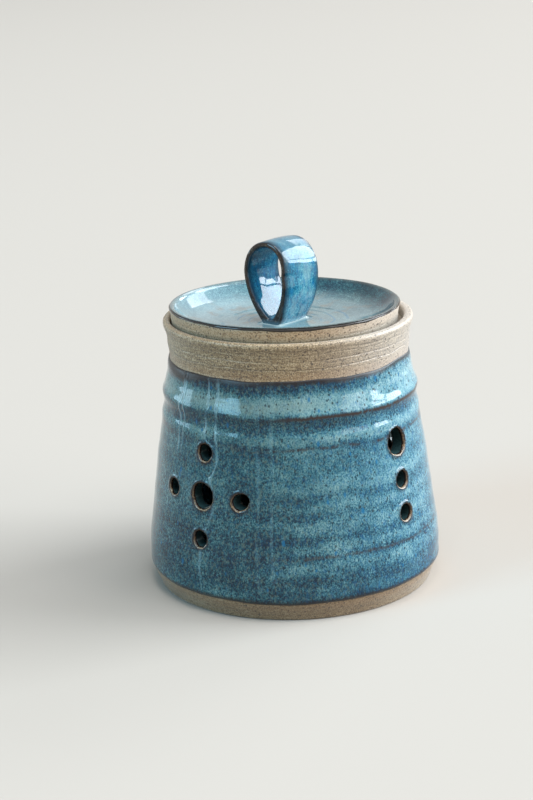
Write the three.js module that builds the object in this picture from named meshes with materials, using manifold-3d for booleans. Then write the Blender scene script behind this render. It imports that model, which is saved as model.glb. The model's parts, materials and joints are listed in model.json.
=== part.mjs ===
// Ventilated lidded storage jar of thrown stoneware, with glaze coats and a strap loop on its lid.
// Lengths are in millimetres and +Z is up. The origin is the centre of the foot, on the surface it stands on.
// One cross of vents faces -Y and another faces +Y; a column of vents faces +X and another faces -X.
import * as THREE from 'three';
import { mergeVertices } from 'three/addons/utils/BufferGeometryUtils.js';
import Module from 'manifold-3d';

// Jar
const jarHeight = 109;
const footRadius = 56;
const footHeight = 7.5;
const footRingWidth = 9;
const footRecess = 1.5;
const bellyRadius = 59;
const neckRadius = 48;
const neckHeight = 94.1;
const collarFlare = 2.2;
const rimWall = 3;
const wallThickness = 5;
const floorThickness = 6.5;
const edgeRound = 0.8;

// Seat of the lid in the jar
const seatDepth = 4.3;
const ledgeWidth = 5.2;
const throatHeight = 6;
const lidPlay = 1.8;
const seatGap = 0.3;

// Lid
const lidRise = 9.1;
const lidThickness = 5;
const dishDepth = 8.1;
const rimFlare = 0.6;

// Loop handle
const handleHeight = 34;
const handleSpan = 23.8;
const handleWidth = 17.8;
const handleFootSpan = 8.2;
const strapThickness = 3.2;
const strapRound = 1.1;

// Glaze coats
const glazeThickness = 0.5;
const glazeRoll = 1.2;
const footingClearance = 0.3;

// Vents
const smallVentRadius = 3.5;
const largeVentRadius = 5.3;
const bareVentRing = 0.6;
const crossHeight = 47.5;
const crossPitch = 17;
const columnTopHeight = 64.5;
const columnTopPitch = 15;
const columnLowPitch = 13.3;

// A length that runs every cut past the faces it goes through
const cutOverrun = 3;

// Where outlines turn, as shares: height from the foot line to the collar line, radius from the neck to the belly
const outerWallShares = [
  [0.023, 0.99],
  [0.075, 1],
  [0.167, 0.955],
  [0.283, 0.825],
  [0.421, 0.68],
  [0.56, 0.535],
  [0.664, 0.39],
  [0.733, 0.318],
  [0.779, 0.245],
  [0.803, 0.222],
  [0.829, 0.282],
  [0.843, 0.286],
  [0.864, 0.218],
  [0.889, 0.136],
  [0.93, 0.082],
  [0.964, 0.05]
];
// The bare collar: height from the collar line to the rim, radius from the neck to the rim
const collarShares = [
  [0.13, 0.06],
  [0.36, 0.25],
  [0.6, 0.38],
  [0.8, 0.75],
  [0.9, 1]
];
// The cavity: height from the floor to the top of the throat, radius from the throat to the belly's inside
const cavityShares = [
  [0.015, 0.78],
  [0.051, 0.94],
  [0.117, 1],
  [0.26, 0.875],
  [0.402, 0.73],
  [0.545, 0.575],
  [0.667, 0.4],
  [0.769, 0.295],
  [0.86, 0.175]
];
const cavityFloorShare = 0.87;
// The lid's dish: radius as a share of its crest's, height as a share of its depth
const dishShares = [
  [0.3, 0],
  [0.5, 0.03],
  [0.66, 0.11],
  [0.8, 0.27],
  [0.905, 0.53],
  [0.97, 0.82]
];
// The lid's underside: radius as a share of the plug's, depth as a share of the plug's
const plugShares = [
  [0.985, 0.4],
  [0.91, 0.8],
  [0.78, 1]
];
const crestShare = 0.978;
const sideTaperShare = 0.35;
const lidShiftShare = 0.7;
const widestShare = 0.6;
const crotchShare = 0.075;

// Numbers of facets
const turns = 40;
const handleCurveSteps = 9;
const smallVentSides = 12;
const largeVentSides = 16;
const bevelSteps = 2;

// The direction, in degrees from +X, in which the lid lies off the middle of its seat
const lidShiftAngle = 220;

const wasm = await Module();
wasm.setup();

/** A point of an outline that is turned round the Z axis. */
function at(radius, height) {
  return new THREE.Vector2(radius, height);
}

function between(low, high, share) {
  return low + (high - low) * share;
}

/** A closed solid made from a three.js geometry. */
function solidOf(geometry) {
  const bare = geometry.clone();
  bare.deleteAttribute('normal');
  bare.deleteAttribute('uv');
  const merged = mergeVertices(bare);
  const index = merged.index.array;
  const triangles = [];
  for (let i = 0; i < index.length; i += 3) {
    const [a, b, c] = [index[i], index[i + 1], index[i + 2]];
    if (a !== b && b !== c && c !== a) {
      triangles.push(a, b, c);
    }
  }
  const mesh = new wasm.Mesh({
    numProp: 3,
    vertProperties: new Float32Array(merged.attributes.position.array),
    triVerts: new Uint32Array(triangles)
  });
  return new wasm.Manifold(mesh);
}

/** The geometry of a solid, for a mesh. */
function geometryOf(solid) {
  const mesh = solid.getMesh();
  const geometry = new THREE.BufferGeometry();
  geometry.setAttribute('position', new THREE.BufferAttribute(mesh.vertProperties, 3));
  geometry.setIndex(new THREE.BufferAttribute(mesh.triVerts, 1));
  geometry.computeVertexNormals();
  return geometry;
}

/** A solid turned round the Z axis from an outline that closes on itself or on the axis. */
function turned(outline) {
  const geometry = new THREE.LatheGeometry(outline, turns);
  geometry.rotateX(Math.PI / 2);
  return solidOf(geometry);
}

/** The points of an outline moved sideways, to the left of its run for a positive distance. */
function offsetOutline(points, distance) {
  return points.map((point, i) => {
    const before = points[Math.max(i - 1, 0)];
    const after = points[Math.min(i + 1, points.length - 1)];
    const along = new THREE.Vector2().subVectors(after, before).normalize();
    return at(point.x - along.y * distance, point.y + along.x * distance);
  });
}

/** The closed outline of a coat outside a run of wall: zero thick at both ends, and full after a short roll. */
function coatOutline(points, thickness) {
  const raised = offsetOutline(points, -thickness).slice(1, -1);
  return [points[0].clone(), ...raised, ...points.toReversed()];
}

/** The same for a coat on top of a run that starts on the axis, where it is full thickness. */
function coatOutlineFromAxis(points, thickness) {
  const raised = offsetOutline(points, thickness).slice(0, -1);
  raised[0].x = 0;
  return [...points, ...raised.toReversed()];
}

// Heights and radii that follow from the driving sizes
const ledgeHeight = jarHeight - seatDepth;
const rimRadius = neckRadius + collarFlare;
const galleryRadius = rimRadius - rimWall;
const throatRadius = galleryRadius - ledgeWidth;
const throatBottom = ledgeHeight - throatHeight;
const cavityRadius = bellyRadius - wallThickness;
const flangeRadius = galleryRadius - lidPlay;
const plugRadius = throatRadius - lidPlay;
const crestRadius = (flangeRadius + rimFlare) * crestShare;
const dishFloor = lidRise - dishDepth;
const dishClay = dishFloor - glazeThickness;
const plugDepth = lidThickness - dishClay;

/** The clay under the outer glaze, from the foot line up to the collar line. */
function outerWall() {
  const rise = neckHeight - footHeight;
  const radius = (share) => between(neckRadius, bellyRadius, share);
  const stations = outerWallShares.map(([height, share]) => at(radius(share), footHeight + rise * height));
  const last = stations[stations.length - 1];
  const footEdge = at(stations[0].x - edgeRound / 2, footHeight);
  const rollEdge = at(between(neckRadius, last.x, 1 / 2), neckHeight - glazeRoll);
  return [footEdge, ...stations, rollEdge, at(neckRadius, neckHeight)];
}

/** The bare collar, from above the glaze up to the rim and down its inside to the ledge and throat. */
function collarAndSeat() {
  const rise = jarHeight - neckHeight;
  const collar = collarShares.map(([height, share]) =>
    at(between(neckRadius, rimRadius, share), neckHeight + rise * height));
  return [
    ...collar,
    at(rimRadius - edgeRound, jarHeight),
    at(galleryRadius + edgeRound, jarHeight),
    at(galleryRadius, jarHeight - edgeRound),
    at(galleryRadius, ledgeHeight),
    at(throatRadius, ledgeHeight)
  ];
}

/** The inside of the jar, from the throat down the wall and across the floor to the axis. */
function cavityWall() {
  const rise = throatBottom - floorThickness;
  const wall = cavityShares.map(([height, share]) =>
    at(between(throatRadius, cavityRadius, share), floorThickness + rise * height));
  const floorEdge = at(cavityRadius * cavityFloorShare, floorThickness);
  return [at(throatRadius, throatBottom), ...wall.reverse(), floorEdge, at(0, floorThickness)];
}

function jarOutline() {
  const ringInside = footRadius - footRingWidth;
  return [
    at(0, footRecess),
    at(ringInside - footRecess, footRecess),
    at(ringInside, 0),
    at(footRadius - edgeRound, 0),
    at(footRadius, edgeRound),
    ...outerWall(),
    ...collarAndSeat(),
    ...cavityWall()
  ];
}

/** The upper face of the lid's clay, from the axis out over the dish to the outer edge of the rim. */
function lidTop() {
  const rise = (share) => dishClay + dishDepth * share;
  const dish = dishShares.map(([radius, height]) => at(crestRadius * radius, rise(height)));
  const edge = at(flangeRadius + rimFlare, rise(1) - edgeRound);
  return [at(0, dishClay), ...dish, at(crestRadius, rise(1)), edge];
}

function lidOutline() {
  const sideBottom = lidRise * sideTaperShare;
  const plug = plugShares.map(([radius, depth]) => at(plugRadius * radius, -plugDepth * depth));
  return [
    at(0, -plugDepth),
    ...plug.reverse(),
    at(plugRadius, 0),
    at(flangeRadius - edgeRound / 2, 0),
    at(flangeRadius, edgeRound / 2),
    at(flangeRadius, sideBottom),
    ...lidTop().reverse()
  ];
}

/** The middles of one group's vents, as offsets across the group's facing and heights, with their radii. */
const crossVents = [
  { across: 0, height: crossHeight, radius: largeVentRadius },
  { across: -crossPitch, height: crossHeight, radius: smallVentRadius },
  { across: crossPitch, height: crossHeight, radius: smallVentRadius },
  { across: 0, height: crossHeight + crossPitch, radius: smallVentRadius },
  { across: 0, height: crossHeight - crossPitch, radius: smallVentRadius }
];
const columnVents = [
  { across: 0, height: columnTopHeight, radius: largeVentRadius },
  { across: 0, height: columnTopHeight - columnTopPitch, radius: smallVentRadius },
  { across: 0, height: columnTopHeight - columnTopPitch - columnLowPitch, radius: smallVentRadius }
];
const ventGroups = [crossVents, columnVents, crossVents, columnVents];

/** A wall with every vent drilled through it, each wider by a margin. */
function drilled(wall, margin) {
  const inside = neckRadius / 2;
  const reach = bellyRadius + glazeThickness + cutOverrun - inside;
  let solid = wall;
  ventGroups.forEach((vents, quarter) => {
    for (const { across, height, radius } of vents) {
      const sides = radius === largeVentRadius ? largeVentSides : smallVentSides;
      const drill = new THREE.CylinderGeometry(radius + margin, radius + margin, reach, sides);
      drill.translate(across, -inside - reach / 2, 0);
      drill.translate(0, 0, height);
      drill.rotateZ(quarter * Math.PI / 2);
      solid = solid.subtract(solidOf(drill));
    }
  });
  return solid;
}

/** The side view of the strap loop, with its feet run below the floor of the dish. */
function loopShape() {
  const span = handleSpan / 2;
  const foot = handleFootSpan / 2;
  const widest = handleHeight * widestShare;
  const crotch = handleHeight * crotchShare;
  const innerSpan = span - strapThickness;
  const innerTop = handleHeight - strapThickness;
  const shape = new THREE.Shape();
  shape.moveTo(foot, 0);
  shape.quadraticCurveTo(span, widest / 2, span, widest);
  shape.absellipse(0, widest, span, handleHeight - widest, 0, Math.PI, false);
  shape.quadraticCurveTo(-span, widest / 2, -foot, 0);
  shape.lineTo(-foot, -cutOverrun);
  shape.lineTo(foot, -cutOverrun);
  const gap = new THREE.Path();
  gap.moveTo(0, crotch);
  gap.quadraticCurveTo(innerSpan, between(crotch, widest, 1 / 2), innerSpan, widest);
  gap.absellipse(0, widest, innerSpan, innerTop - widest, 0, Math.PI, false);
  gap.quadraticCurveTo(-innerSpan, between(crotch, widest, 1 / 2), 0, crotch);
  shape.holes.push(gap);
  return shape;
}

/** The strap loop on its own floor, its gap running along Y, its feet cut flat. */
function loopHandle() {
  const geometry = new THREE.ExtrudeGeometry(loopShape(), {
    depth: handleWidth - 2 * strapRound,
    bevelThickness: strapRound,
    bevelSize: strapRound,
    bevelOffset: -strapRound,
    bevelSegments: bevelSteps,
    curveSegments: handleCurveSteps
  });
  geometry.translate(0, 0, strapRound - handleWidth / 2);
  geometry.rotateX(Math.PI / 2);
  const below = new THREE.BoxGeometry(handleSpan, handleWidth + cutOverrun, cutOverrun * 2);
  below.translate(0, 0, -cutOverrun);
  return solidOf(geometry).subtract(solidOf(below));
}

/** The lid's glaze with an opening round the foot of the handle. */
function lidCoat() {
  const spread = (handleSpan - handleFootSpan) / (handleHeight * widestShare) * 2;
  const acrossFoot = handleFootSpan + spread * glazeThickness + 2 * footingClearance;
  const alongFoot = handleWidth + 2 * footingClearance;
  const opening = new THREE.BoxGeometry(acrossFoot, alongFoot, glazeThickness + 2 * cutOverrun);
  opening.translate(0, 0, dishFloor);
  return turned(coatOutlineFromAxis(lidTop(), glazeThickness)).subtract(solidOf(opening));
}

/** A named mesh with a material of its own. */
function piece(name, solid, color, roughness) {
  const material = new THREE.MeshStandardMaterial({ color, roughness, metalness: 0 });
  const mesh = new THREE.Mesh(geometryOf(solid), material);
  mesh.name = name;
  return mesh;
}

const jar = new THREE.Group();
jar.add(piece('jar_body', drilled(turned(jarOutline()), 0), 0xa89474, 0.85));
jar.add(piece('jar_outer_glaze', drilled(turned(coatOutline(outerWall(), glazeThickness)), bareVentRing), 0x4c7f93, 0.2));
const lining = cavityWall().reverse();
jar.add(piece('jar_inner_glaze', drilled(turned(coatOutlineFromAxis(lining, glazeThickness)), bareVentRing), 0x1f4450, 0.25));

const lid = new THREE.Group();
lid.add(piece('lid_body', turned(lidOutline()), 0xa89474, 0.85));
lid.add(piece('lid_glaze', lidCoat(), 0x8fb0b8, 0.2));
const handle = piece('loop_handle', loopHandle(), 0x3f87a6, 0.18);
handle.position.z = dishClay;
lid.add(handle);

const lidShift = lidPlay * lidShiftShare;
const shiftTurn = THREE.MathUtils.degToRad(lidShiftAngle);
lid.position.set(lidShift * Math.cos(shiftTurn), lidShift * Math.sin(shiftTurn), ledgeHeight + seatGap);

const group = new THREE.Group();
group.add(jar, lid);

export default group;
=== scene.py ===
import json
import math

import bpy
import numpy as np
from mathutils import Matrix, Vector


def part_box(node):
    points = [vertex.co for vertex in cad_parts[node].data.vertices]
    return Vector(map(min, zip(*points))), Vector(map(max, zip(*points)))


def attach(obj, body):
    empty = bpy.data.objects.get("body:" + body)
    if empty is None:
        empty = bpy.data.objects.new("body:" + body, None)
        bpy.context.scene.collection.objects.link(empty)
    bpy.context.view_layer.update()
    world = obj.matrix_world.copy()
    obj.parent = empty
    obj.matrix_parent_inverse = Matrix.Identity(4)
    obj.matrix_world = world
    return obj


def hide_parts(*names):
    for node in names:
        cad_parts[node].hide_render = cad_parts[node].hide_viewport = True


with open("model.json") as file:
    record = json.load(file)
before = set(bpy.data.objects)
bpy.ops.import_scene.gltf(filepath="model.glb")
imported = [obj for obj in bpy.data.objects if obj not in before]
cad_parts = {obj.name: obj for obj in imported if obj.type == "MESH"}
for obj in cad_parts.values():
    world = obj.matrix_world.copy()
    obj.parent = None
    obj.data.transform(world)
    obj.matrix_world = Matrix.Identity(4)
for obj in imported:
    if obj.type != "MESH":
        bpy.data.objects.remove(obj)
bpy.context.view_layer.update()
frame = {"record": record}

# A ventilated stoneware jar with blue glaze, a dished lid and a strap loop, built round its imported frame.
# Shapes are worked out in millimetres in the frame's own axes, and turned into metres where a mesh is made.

MM = 0.001


def frame_box(node):
    """Lowest and highest corner of a CAD node, in millimetres."""
    low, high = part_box(node)
    return np.array(low) / MM, np.array(high) / MM


jar_high = frame_box("jar_body")[1]
coat_low, coat_high = frame_box("jar_outer_glaze")
lining_low, lining_high = frame_box("jar_inner_glaze")
lid_low, lid_high = frame_box("lid_body")
dish_high = frame_box("lid_glaze")[1]
loop_low, loop_high = frame_box("loop_handle")

# Jar
JAR_HEIGHT = jar_high[2]
FOOT_LINE = coat_low[2]
COLLAR_LINE = coat_high[2]
BELLY_RADIUS = jar_high[0]
COAT = coat_high[0] - jar_high[0]
LINING_TOP = lining_high[2]
CAVITY_RADIUS = lining_high[0]
FLOOR_HEIGHT = lining_low[2]
FOOT_RADIUS = 56.0
FOOT_RING = 9.0
FOOT_RECESS = 1.5
NECK_RADIUS = 48.0
RIM_RADIUS = 50.2
GALLERY_RADIUS = 47.2
THROAT_RADIUS = 42.0
LEDGE_HEIGHT = 104.7

# The rim is thicker inside on one side: by how much, how far from the gallery's wall, towards which angle
RIM_EXTRA = 0.8
RIM_REACH = 1.5
RIM_HEAVY = 30.0

# Lid, with heights above the plane its flange lies in
LID_CENTRE = (lid_low[:2] + lid_high[:2]) / 2
LID_REST = LEDGE_HEIGHT + 0.3
LID_RADIUS = (lid_high[0] - lid_low[0]) / 2
FLANGE_RADIUS = 45.4
PLUG_RADIUS = 40.2
CREST_RADIUS = 45.0
DISH_CLAY = 0.5
DISH_DEPTH = 8.1
CREST = DISH_CLAY + DISH_DEPTH
PLUG_DEPTH = LID_REST - lid_low[2]
CREST_LEAN = 0.6
CREST_HIGH = -95.0

# Strap loop, with heights above the dish's clay
LOOP_FLOOR = LID_REST + DISH_CLAY
LOOP_HEIGHT = loop_high[2] - LOOP_FLOOR
LOOP_SPAN = (loop_high[0] - loop_low[0]) / 2
LOOP_WIDTH = (loop_high[1] - loop_low[1]) / 2
LOOP_FOOT = 4.1
LOOP_WIDEST = 20.4
LOOP_CROTCH = 2.55
STRAP = 3.2
STRAP_ROUNDING = 0.95
STRAP_CROWN = 0.55
LOOP_LEAN = 1.4
LOOP_PINCH = 3.8
LOOP_SPREAD = 0.7
LOOP_LIFT = 0.5

# Vents: radii inside the glaze, and the half height of opening that tells a large one from a small one
LARGE_VENT = 4.95
SMALL_VENT = 3.15
LARGE_BOX = 3.0
# How much wider the clay's bore is, the outer lip's size and rise, the inner lip's size, and how far outside
# the lining's face the outer glaze ends
BORE_COAT = 0.85
VENT_LIP = 0.95
LIP_RISE = 0.3
LINING_LIP = 0.7
TUNNEL_STOP = 0.75
GROUP_FACING = {"front": -90.0, "right": 0.0, "back": 90.0, "left": 180.0}

# The jar's walls: height share from foot line to collar line, radius share from neck to belly
WALL_SHARES = [
    (0.023, 0.99), (0.075, 1.0), (0.167, 0.955), (0.283, 0.825), (0.421, 0.68), (0.56, 0.535),
    (0.664, 0.39), (0.733, 0.318), (0.779, 0.245), (0.803, 0.222), (0.829, 0.282), (0.843, 0.286),
    (0.864, 0.218), (0.889, 0.136), (0.93, 0.07), (0.964, 0.045), (1.0, 0.0),
]
# The bare collar: height share from collar line to rim, radius share from neck to rim
COLLAR_SHARES = [(0.13, 0.06), (0.36, 0.25), (0.6, 0.38), (0.8, 0.75), (0.9, 1.0)]
# The cavity: height share from the floor to the throat, radius share from the throat to its widest
CAVITY_SHARES = [
    (0.86, 0.175), (0.769, 0.295), (0.667, 0.4), (0.545, 0.575), (0.402, 0.73),
    (0.26, 0.875), (0.117, 1.0), (0.051, 0.94), (0.015, 0.78),
]
# The lid's dish: height share of its depth, radius share of its crest's
DISH_SHARES = [(1.0, 1.0), (0.82, 0.97), (0.53, 0.905), (0.27, 0.8), (0.11, 0.66), (0.03, 0.5), (0.0, 0.3)]

# Ridges and grooves of throwing on the outer wall: height, depth and half width
RELIEF = [
    (85.4, 0.3, 2.3), (79.4, -0.14, 1.1), (72.2, 0.27, 1.4), (68.0, -0.1, 0.9), (54.0, 0.08, 2.0),
    (48.5, -0.07, 1.5), (39.0, 0.08, 2.0), (32.5, -0.06, 1.0), (26.0, -0.08, 1.2), (21.5, 0.07, 1.8),
]
# Marks of the hand: throwing rings and out-of-round in millimetres, the share of them that shows inside, and
# the angle in degrees at which the glaze's top edge is drawn up
RING_DEPTH = 0.06
RING_PITCH = 7.3
OVAL = 0.1
MARKS_INSIDE = 0.4
DRAWN_UP = 14.6

# Glaze at its rolled edges: how far it is tucked in, then the reach of the roll at the outer glaze's lower
# edge, at its upper edge and at the lining's edge, then the height of the lining's edge, then the swellings
# behind the outer glaze's lower and upper edge as (height, place, width)
EDGE_TUCK = 0.3
LOW_ROLL = 1.2
TOP_ROLL = 1.0
LINING_ROLL = 1.3
LINING_EDGE = LINING_TOP + 0.25
LOW_SWELL = (0.22, 1.7, 1.1)
TOP_SWELL = (-0.06, 1.5, 1.4)

# The lid's crest starts to lean at this share of its radius and at this height
CREST_START = 0.88
CREST_FOOT = 3.5
# How high the lid's glaze is drawn up at the loop's foot, and the ripples of throwing in the dish
FOOT_RISE = 0.95
RIPPLE = 0.03

# Mesh fineness: the columns round a turned face, and steps in millimetres
COLUMNS = 288
ANGLES = np.arange(COLUMNS) * (2 * math.pi / COLUMNS)
GLAZE_STEP = 0.95
CLAY_STEP = 1.15
LINING_STEP = 1.0
LINE_STEP = 0.25
AXIS_GAP = 0.35
# Rows closer together at the outer glaze's lower and upper edge, as distances from it
LOWER_ROWS = [0.0, 0.12, 0.3, 0.55, 0.85, 1.2, 1.7, 2.4, 3.2]
UPPER_ROWS = [2.4, 1.6, 1.0, 0.6, 0.3, 0.12, 0.0]
# How far the rows of the clay's wall keep from foot and rim, and those inside from the floor
WALL_MARGIN = 2.4
FLOOR_MARGIN = 2.5
# How far the cells taken out round a vent reach beyond it, in the clay, the outer glaze and the lining
CLAY_REACH = 1.9
WALL_REACH = 2.3
LINING_REACH = 2.2
# How far clay lies under the glaze that covers it, and how thick a sheet of glaze is
CLAY_SUNK = 0.12
SHELL_BACK = 0.35
# Values of points that are far from a glaze's edges and from the vents
FAR = 30.0
CLEAR = 9.0
# The texture's places for the hidden backs of the glaze, for their rims and for the bores through the clay
BACK_CORNER = (0.01, 0.95)
BACK_SIZE = 0.04
RIM_PLACES = [[0.06, 0.95], [0.061, 0.95], [0.061, 0.951], [0.06, 0.951]]
BORE_PLACE = 0.97

# The camera, in millimetres and radians, in the axes it was solved in, and their turn about the jar
CAMERA_TURN = math.radians(39.6)
CAMERA_BACK = 736.255
CAMERA_RISE = 287.312
CAMERA_YAW = -0.0131412862
CAMERA_PITCH = 0.283022302
CAMERA_ROLL = -0.0351065396
CAMERA_LENS = 85.0
SENSOR = 36.0


def run_of(line):
    """How far along a line each of its points lies."""
    return np.concatenate([[0], np.cumsum(np.linalg.norm(np.diff(line, axis=0), axis=1))])


def shares_of(line):
    """How far along a line each of its points lies, as a share of its length."""
    run = run_of(line)
    return run / run[-1]


def flowing(points, spacing=LINE_STEP):
    """A smooth line through points, with points about a spacing apart."""
    points = np.array(points, float)
    knots = run_of(points)
    slopes = np.gradient(points, knots, axis=0)
    at = np.linspace(0, knots[-1], max(int(knots[-1] / spacing), len(points)) + 1)
    i = np.clip(np.searchsorted(knots, at, side="right") - 1, 0, len(points) - 2)
    step = (knots[i + 1] - knots[i])[:, None]
    t = (at - knots[i])[:, None] / step
    return (
        points[i] * (2 * t**3 - 3 * t**2 + 1)
        + points[i + 1] * (3 * t**2 - 2 * t**3)
        + slopes[i] * step * (t**3 - 2 * t**2 + t)
        + slopes[i + 1] * step * (t**3 - t**2)
    )


def rounded(corners, steps=6):
    """A line through corners, each (radius, height, rounding), with its corners rounded."""
    places = np.array([corner[:2] for corner in corners], float)
    line = [places[0]]
    for i in range(1, len(corners) - 1):
        before = places[i - 1] - places[i]
        after = places[i + 1] - places[i]
        reach = corners[i][2]
        start = places[i] + before / np.linalg.norm(before) * reach
        end = places[i] + after / np.linalg.norm(after) * reach
        for t in np.linspace(0, 1, steps + 1):
            line.append(start * (1 - t) ** 2 + places[i] * 2 * t * (1 - t) + end * t**2)
    line.append(places[-1])
    return np.array(line)


def filled(line, spacing):
    """A line with points added so that none are further apart than a spacing."""
    parts = [line[:1]]
    for a, b in zip(line[:-1], line[1:]):
        count = max(int(math.ceil(np.linalg.norm(b - a) / spacing)), 1)
        parts.append(a + (b - a) * np.linspace(0, 1, count + 1)[1:, None])
    return np.vstack(parts)


def moved_sideways(line, distance):
    """A line moved to the right of its run by a distance, which may differ from point to point."""
    along = np.gradient(line, axis=0)
    along /= np.maximum(np.linalg.norm(along, axis=1), 1e-9)[:, None]
    right = np.stack([along[:, 1], -along[:, 0]], -1)
    return line + right * np.broadcast_to(distance, len(line))[:, None]


def rise_of_edge(distance, reach):
    """How far a rolled edge still has to rise, from 1 at the edge to 0 at a reach from it."""
    return 1 - np.sqrt(1 - (1 - np.clip(distance / reach, 0, 1)) ** 2)


def bell(distance, width):
    """1 at no distance, falling smoothly to next to nothing beyond twice a width."""
    return np.exp(-((distance / width) ** 2))


def waves(angle, *parts):
    """A sum of waves round a circle, each (depth, number round it, shift)."""
    return sum(depth * np.sin(number * angle + shift) for depth, number, shift in parts)


def hand_marks(angle, height):
    """How far the thrower's fingers and the fire moved the wall, at an angle and a height."""
    spiral = np.sin(height * (2 * math.pi / RING_PITCH) + angle)
    uneven = 0.55 + 0.45 * np.sin(2 * angle + 0.06 * height + 1.0)
    ridges = sum(depth * bell(height - level, width) for level, depth, width in RELIEF)
    strength = 0.8 + 0.2 * np.sin(angle + 2.2)
    return RING_DEPTH * spiral * uneven + OVAL * np.cos(2 * angle + 0.7) + ridges * strength


class Surface:
    """A mesh gathered step by step: points with named values, and faces with their places in the texture."""

    def __init__(self, *names):
        self.points = np.zeros((0, 3))
        self.values = {name: np.zeros(0) for name in names}
        self.faces = []
        self.places = []

    def add(self, points, **values):
        """Adds an array of points and returns their numbers in the array's shape."""
        shape = points.shape[:-1]
        first = len(self.points)
        self.points = np.vstack([self.points, points.reshape(-1, 3)])
        for name, old in self.values.items():
            new = np.broadcast_to(values[name], shape).reshape(-1)
            self.values[name] = np.concatenate([old, new])
        return np.arange(first, len(self.points)).reshape(shape)

    def quads(self, corners, places):
        """Adds faces from arrays of point numbers and of texture places, one of each for every corner."""
        self.faces.extend(np.stack(corners, -1).reshape(-1, 4).tolist())
        self.places.extend(np.stack(places, -2).reshape(-1, 4, 2).tolist())

    def ring(self, outer, inner, outer_places, inner_places):
        """Adds the faces between two rings of points."""
        self.quads(
            [outer, np.roll(outer, -1), np.roll(inner, -1), inner],
            [outer_places, np.roll(outer_places, -1, 0), np.roll(inner_places, -1, 0), inner_places],
        )

    def fan(self, loop, centre, places, centre_place):
        """Closes a loop of points with triangles to one point."""
        after, after_places = np.roll(loop, -1), np.roll(places, -1, axis=0)
        for a, b, p, q in zip(loop.tolist(), after.tolist(), places.tolist(), after_places.tolist()):
            self.faces.append([a, b, int(centre)])
            self.places.append([p, q, list(centre_place)])

    def thickened(self, thickness):
        """Adds the back of an open sheet at a thickness behind it, and closes its edges."""
        edges = {(a, b): None for face in self.faces for a, b in zip(face, face[1:] + face[:1])}
        count = len(self.points)
        self.points = np.vstack([self.points, self.points - self.normals() * thickness])
        self.values = {name: np.concatenate([found, found]) for name, found in self.values.items()}
        self.places += [
            [[BACK_CORNER[0] + u * BACK_SIZE, BACK_CORNER[1] + v * BACK_SIZE] for u, v in place[::-1]]
            for place in self.places
        ]
        rims = [[b, a, a + count, b + count] for a, b in edges if (b, a) not in edges]
        self.faces += [[number + count for number in face[::-1]] for face in self.faces] + rims
        self.places += [RIM_PLACES] * len(rims)
        return self

    def normals(self):
        """A unit normal at each point."""
        found = np.zeros_like(self.points)
        for size in (3, 4):
            faces = np.array([face for face in self.faces if len(face) == size], int).reshape(-1, size)
            first = self.points[faces[:, 2]] - self.points[faces[:, 0]]
            second = self.points[faces[:, size - 1]] - self.points[faces[:, 1]]
            across = np.cross(first, second)
            for corner in range(size):
                np.add.at(found, faces[:, corner], across)
        return found / np.maximum(np.linalg.norm(found, axis=1), 1e-12)[:, None]

    def build(self, name, material):
        """Makes the mesh as a smooth object in metres."""
        mesh = bpy.data.meshes.new(name)
        mesh.from_pydata((self.points * MM).tolist(), [], self.faces)
        places = np.concatenate([np.ravel(place) for place in self.places])
        mesh.uv_layers.new(name="OFBake").data.foreach_set("uv", places.astype(np.float32))
        for key, values in self.values.items():
            attribute = mesh.attributes.new(key, "FLOAT", "POINT")
            attribute.data.foreach_set("value", values.astype(np.float32))
        mesh.polygons.foreach_set("use_smooth", np.ones(len(mesh.polygons), bool))
        return new_piece(name, mesh, material)


def new_piece(name, mesh, material):
    mesh.materials.append(material)
    mesh.update()
    piece = bpy.data.objects.new(name, mesh)
    bpy.context.scene.collection.objects.link(piece)
    return piece


def turned_points(radius, height):
    """Points of a turned face, a row for each height and a column for each angle."""
    radius, height, angles = np.broadcast_arrays(radius, height, ANGLES)
    return np.stack([radius * np.cos(angles), radius * np.sin(angles), height], -1)


def quarter_place(quarter, across, along):
    """Where a place on one quarter of a turned face lies in the texture, in two rows of two quarters."""
    quarter, across, along = np.broadcast_arrays(quarter, across, along)
    u = 0.01 + 0.5 * (quarter % 2) + 0.48 * across
    v = 0.01 + 0.44 * (quarter // 2) + 0.42 * along
    return np.stack([u, v], -1)


def add_turned(surface, numbers, along, holes=()):
    """Faces between the rows and columns of a turned face, without the cells that holes take."""
    quarter_columns = COLUMNS // 4
    quarter, step = np.divmod((np.arange(COLUMNS) + quarter_columns // 2) % COLUMNS, quarter_columns)
    keep = np.ones((len(along) - 1, COLUMNS), bool)
    for j0, j1, i0, i1 in holes:
        keep[j0:j1, np.arange(i0, i1) % COLUMNS] = False
    j, i = np.nonzero(keep)
    corners, places = [], []
    for down, over in ((0, 0), (0, 1), (1, 1), (1, 0)):
        corners.append(numbers[j + down, (i + over) % COLUMNS])
        places.append(quarter_place(quarter[i], (step[i] + over) / quarter_columns, along[j + down]))
    surface.quads(corners, places)


def close_end(surface, loop, along, height):
    """Closes the row of a turned face that is nearest the axis."""
    middle = surface.points[loop].mean(0)
    middle[2] = height
    values = {name: found[loop[0]] for name, found in surface.values.items()}
    centre = surface.add(middle[None], **values)[0]
    place = quarter_place(0, np.arange(COLUMNS) / COLUMNS, along)
    surface.fan(loop if along > 0.5 else loop[::-1], centre, place, quarter_place(0, 0.5, along))


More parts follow.
